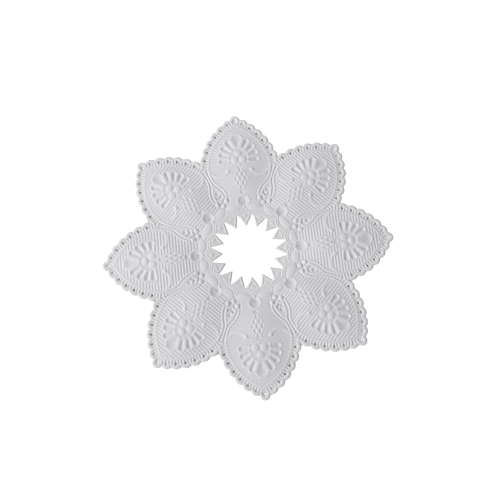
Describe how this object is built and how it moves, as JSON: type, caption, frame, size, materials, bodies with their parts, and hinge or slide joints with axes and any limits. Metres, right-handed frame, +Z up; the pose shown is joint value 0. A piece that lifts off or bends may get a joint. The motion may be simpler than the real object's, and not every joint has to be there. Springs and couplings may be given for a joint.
{
  "type": "paper lace posy frill",
  "caption": "Star-shaped embossed paper-lace collar with a toothed centre hole that grips the stems of a hand-tied posy or a bouquet holder's handle.",
  "frame": {"origin": "centre of the hole, in the plane that the petal tips rest on", "axes": "+Z up through the hole along the stems, +Y out through petal_1, petals counted counter-clockwise from above"},
  "size_m": [0.2044, 0.2044, 0.0028],
  "materials": {
    "lace_paper": "matt white embossed paper"
  },
  "bodies": {
    "collar": {"lace_web": "lace_paper"},
    "petal_1": {"petal_1": "lace_paper"},
    "petal_2": {"petal_2": "lace_paper"},
    "petal_3": {"petal_3": "lace_paper"},
    "petal_4": {"petal_4": "lace_paper"},
    "petal_5": {"petal_5": "lace_paper"},
    "petal_6": {"petal_6": "lace_paper"},
    "petal_7": {"petal_7": "lace_paper"},
    "petal_8": {"petal_8": "lace_paper"},
    "grip_tooth_1": {"grip_tooth_1": "lace_paper"},
    "grip_tooth_2": {"grip_tooth_2": "lace_paper"},
    "grip_tooth_3": {"grip_tooth_3": "lace_paper"},
    "grip_tooth_4": {"grip_tooth_4": "lace_paper"},
    "grip_tooth_5": {"grip_tooth_5": "lace_paper"},
    "grip_tooth_6": {"grip_tooth_6": "lace_paper"},
    "grip_tooth_7": {"grip_tooth_7": "lace_paper"},
    "grip_tooth_8": {"grip_tooth_8": "lace_paper"},
    "grip_tooth_9": {"grip_tooth_9": "lace_paper"},
    "grip_tooth_10": {"grip_tooth_10": "lace_paper"},
    "grip_tooth_11": {"grip_tooth_11": "lace_paper"},
    "grip_tooth_12": {"grip_tooth_12": "lace_paper"},
    "grip_tooth_13": {"grip_tooth_13": "lace_paper"},
    "grip_tooth_14": {"grip_tooth_14": "lace_paper"},
    "grip_tooth_15": {"grip_tooth_15": "lace_paper"},
    "grip_tooth_16": {"grip_tooth_16": "lace_paper"}
  },
  "joints": [
    {"name": "petal_1_fold", "type": "hinge", "parent": "collar", "child": "petal_1", "pos_m": [0, 0.06864, 0.0009], "axis": [1, 0, 0], "range_deg": [-35, 60], "stiffness_Nm_per_rad": 0.02},
    {"name": "petal_2_fold", "type": "hinge", "parent": "collar", "child": "petal_2", "pos_m": [-0.04854, 0.04854, 0.0009], "axis": [0.7071, 0.7071, 0], "range_deg": [-35, 60], "stiffness_Nm_per_rad": 0.02},
    {"name": "petal_3_fold", "type": "hinge", "parent": "collar", "child": "petal_3", "pos_m": [-0.06864, 0, 0.0009], "axis": [0, 1, 0], "range_deg": [-35, 60], "stiffness_Nm_per_rad": 0.02},
    {"name": "petal_4_fold", "type": "hinge", "parent": "collar", "child": "petal_4", "pos_m": [-0.04854, -0.04854, 0.0009], "axis": [-0.7071, 0.7071, 0], "range_deg": [-35, 60], "stiffness_Nm_per_rad": 0.02},
    {"name": "petal_5_fold", "type": "hinge", "parent": "collar", "child": "petal_5", "pos_m": [0, -0.06864, 0.0009], "axis": [-1, 0, 0], "range_deg": [-35, 60], "stiffness_Nm_per_rad": 0.02},
    {"name": "petal_6_fold", "type": "hinge", "parent": "collar", "child": "petal_6", "pos_m": [0.04854, -0.04854, 0.0009], "axis": [-0.7071, -0.7071, 0], "range_deg": [-35, 60], "stiffness_Nm_per_rad": 0.02},
    {"name": "petal_7_fold", "type": "hinge", "parent": "collar", "child": "petal_7", "pos_m": [0.06864, 0, 0.0009], "axis": [0, -1, 0], "range_deg": [-35, 60], "stiffness_Nm_per_rad": 0.02},
    {"name": "petal_8_fold", "type": "hinge", "parent": "collar", "child": "petal_8", "pos_m": [0.04854, 0.04854, 0.0009], "axis": [0.7071, -0.7071, 0], "range_deg": [-35, 60], "stiffness_Nm_per_rad": 0.02},
    {"name": "grip_tooth_1_fold", "type": "hinge", "parent": "collar", "child": "grip_tooth_1", "pos_m": [0, 0.0257, 0.0026], "axis": [1, 0, 0], "range_deg": [-50, 75], "stiffness_Nm_per_rad": 0.005},
    {"name": "grip_tooth_2_fold", "type": "hinge", "parent": "collar", "child": "grip_tooth_2", "pos_m": [-0.00983, 0.02374, 0.0026], "axis": [0.9239, 0.3827, 0], "range_deg": [-50, 75], "stiffness_Nm_per_rad": 0.005},
    {"name": "grip_tooth_3_fold", "type": "hinge", "parent": "collar", "child": "grip_tooth_3", "pos_m": [-0.01817, 0.01817, 0.0026], "axis": [0.7071, 0.7071, 0], "range_deg": [-50, 75], "stiffness_Nm_per_rad": 0.005},
    {"name": "grip_tooth_4_fold", "type": "hinge", "parent": "collar", "child": "grip_tooth_4", "pos_m": [-0.02374, 0.00983, 0.0026], "axis": [0.3827, 0.9239, 0], "range_deg": [-50, 75], "stiffness_Nm_per_rad": 0.005},
    {"name": "grip_tooth_5_fold", "type": "hinge", "parent": "collar", "child": "grip_tooth_5", "pos_m": [-0.0257, 0, 0.0026], "axis": [0, 1, 0], "range_deg": [-50, 75], "stiffness_Nm_per_rad": 0.005},
    {"name": "grip_tooth_6_fold", "type": "hinge", "parent": "collar", "child": "grip_tooth_6", "pos_m": [-0.02374, -0.00983, 0.0026], "axis": [-0.3827, 0.9239, 0], "range_deg": [-50, 75], "stiffness_Nm_per_rad": 0.005},
    {"name": "grip_tooth_7_fold", "type": "hinge", "parent": "collar", "child": "grip_tooth_7", "pos_m": [-0.01817, -0.01817, 0.0026], "axis": [-0.7071, 0.7071, 0], "range_deg": [-50, 75], "stiffness_Nm_per_rad": 0.005},
    {"name": "grip_tooth_8_fold", "type": "hinge", "parent": "collar", "child": "grip_tooth_8", "pos_m": [-0.00983, -0.02374, 0.0026], "axis": [-0.9239, 0.3827, 0], "range_deg": [-50, 75], "stiffness_Nm_per_rad": 0.005},
    {"name": "grip_tooth_9_fold", "type": "hinge", "parent": "collar", "child": "grip_tooth_9", "pos_m": [0, -0.0257, 0.0026], "axis": [-1, 0, 0], "range_deg": [-50, 75], "stiffness_Nm_per_rad": 0.005},
    {"name": "grip_tooth_10_fold", "type": "hinge", "parent": "collar", "child": "grip_tooth_10", "pos_m": [0.00983, -0.02374, 0.0026], "axis": [-0.9239, -0.3827, 0], "range_deg": [-50, 75], "stiffness_Nm_per_rad": 0.005},
    {"name": "grip_tooth_11_fold", "type": "hinge", "parent": "collar", "child": "grip_tooth_11", "pos_m": [0.01817, -0.01817, 0.0026], "axis": [-0.7071, -0.7071, 0], "range_deg": [-50, 75], "stiffness_Nm_per_rad": 0.005},
    {"name": "grip_tooth_12_fold", "type": "hinge", "parent": "collar", "child": "grip_tooth_12", "pos_m": [0.02374, -0.00983, 0.0026], "axis": [-0.3827, -0.9239, 0], "range_deg": [-50, 75], "stiffness_Nm_per_rad": 0.005},
    {"name": "grip_tooth_13_fold", "type": "hinge", "parent": "collar", "child": "grip_tooth_13", "pos_m": [0.0257, 0, 0.0026], "axis": [0, -1, 0], "range_deg": [-50, 75], "stiffness_Nm_per_rad": 0.005},
    {"name": "grip_tooth_14_fold", "type": "hinge", "parent": "collar", "child": "grip_tooth_14", "pos_m": [0.02374, 0.00983, 0.0026], "axis": [0.3827, -0.9239, 0], "range_deg": [-50, 75], "stiffness_Nm_per_rad": 0.005},
    {"name": "grip_tooth_15_fold", "type": "hinge", "parent": "collar", "child": "grip_tooth_15", "pos_m": [0.01817, 0.01817, 0.0026], "axis": [0.7071, -0.7071, 0], "range_deg": [-50, 75], "stiffness_Nm_per_rad": 0.005},
    {"name": "grip_tooth_16_fold", "type": "hinge", "parent": "collar", "child": "grip_tooth_16", "pos_m": [0.00983, 0.02374, 0.0026], "axis": [0.9239, -0.3827, 0], "range_deg": [-50, 75], "stiffness_Nm_per_rad": 0.005}
  ]
}
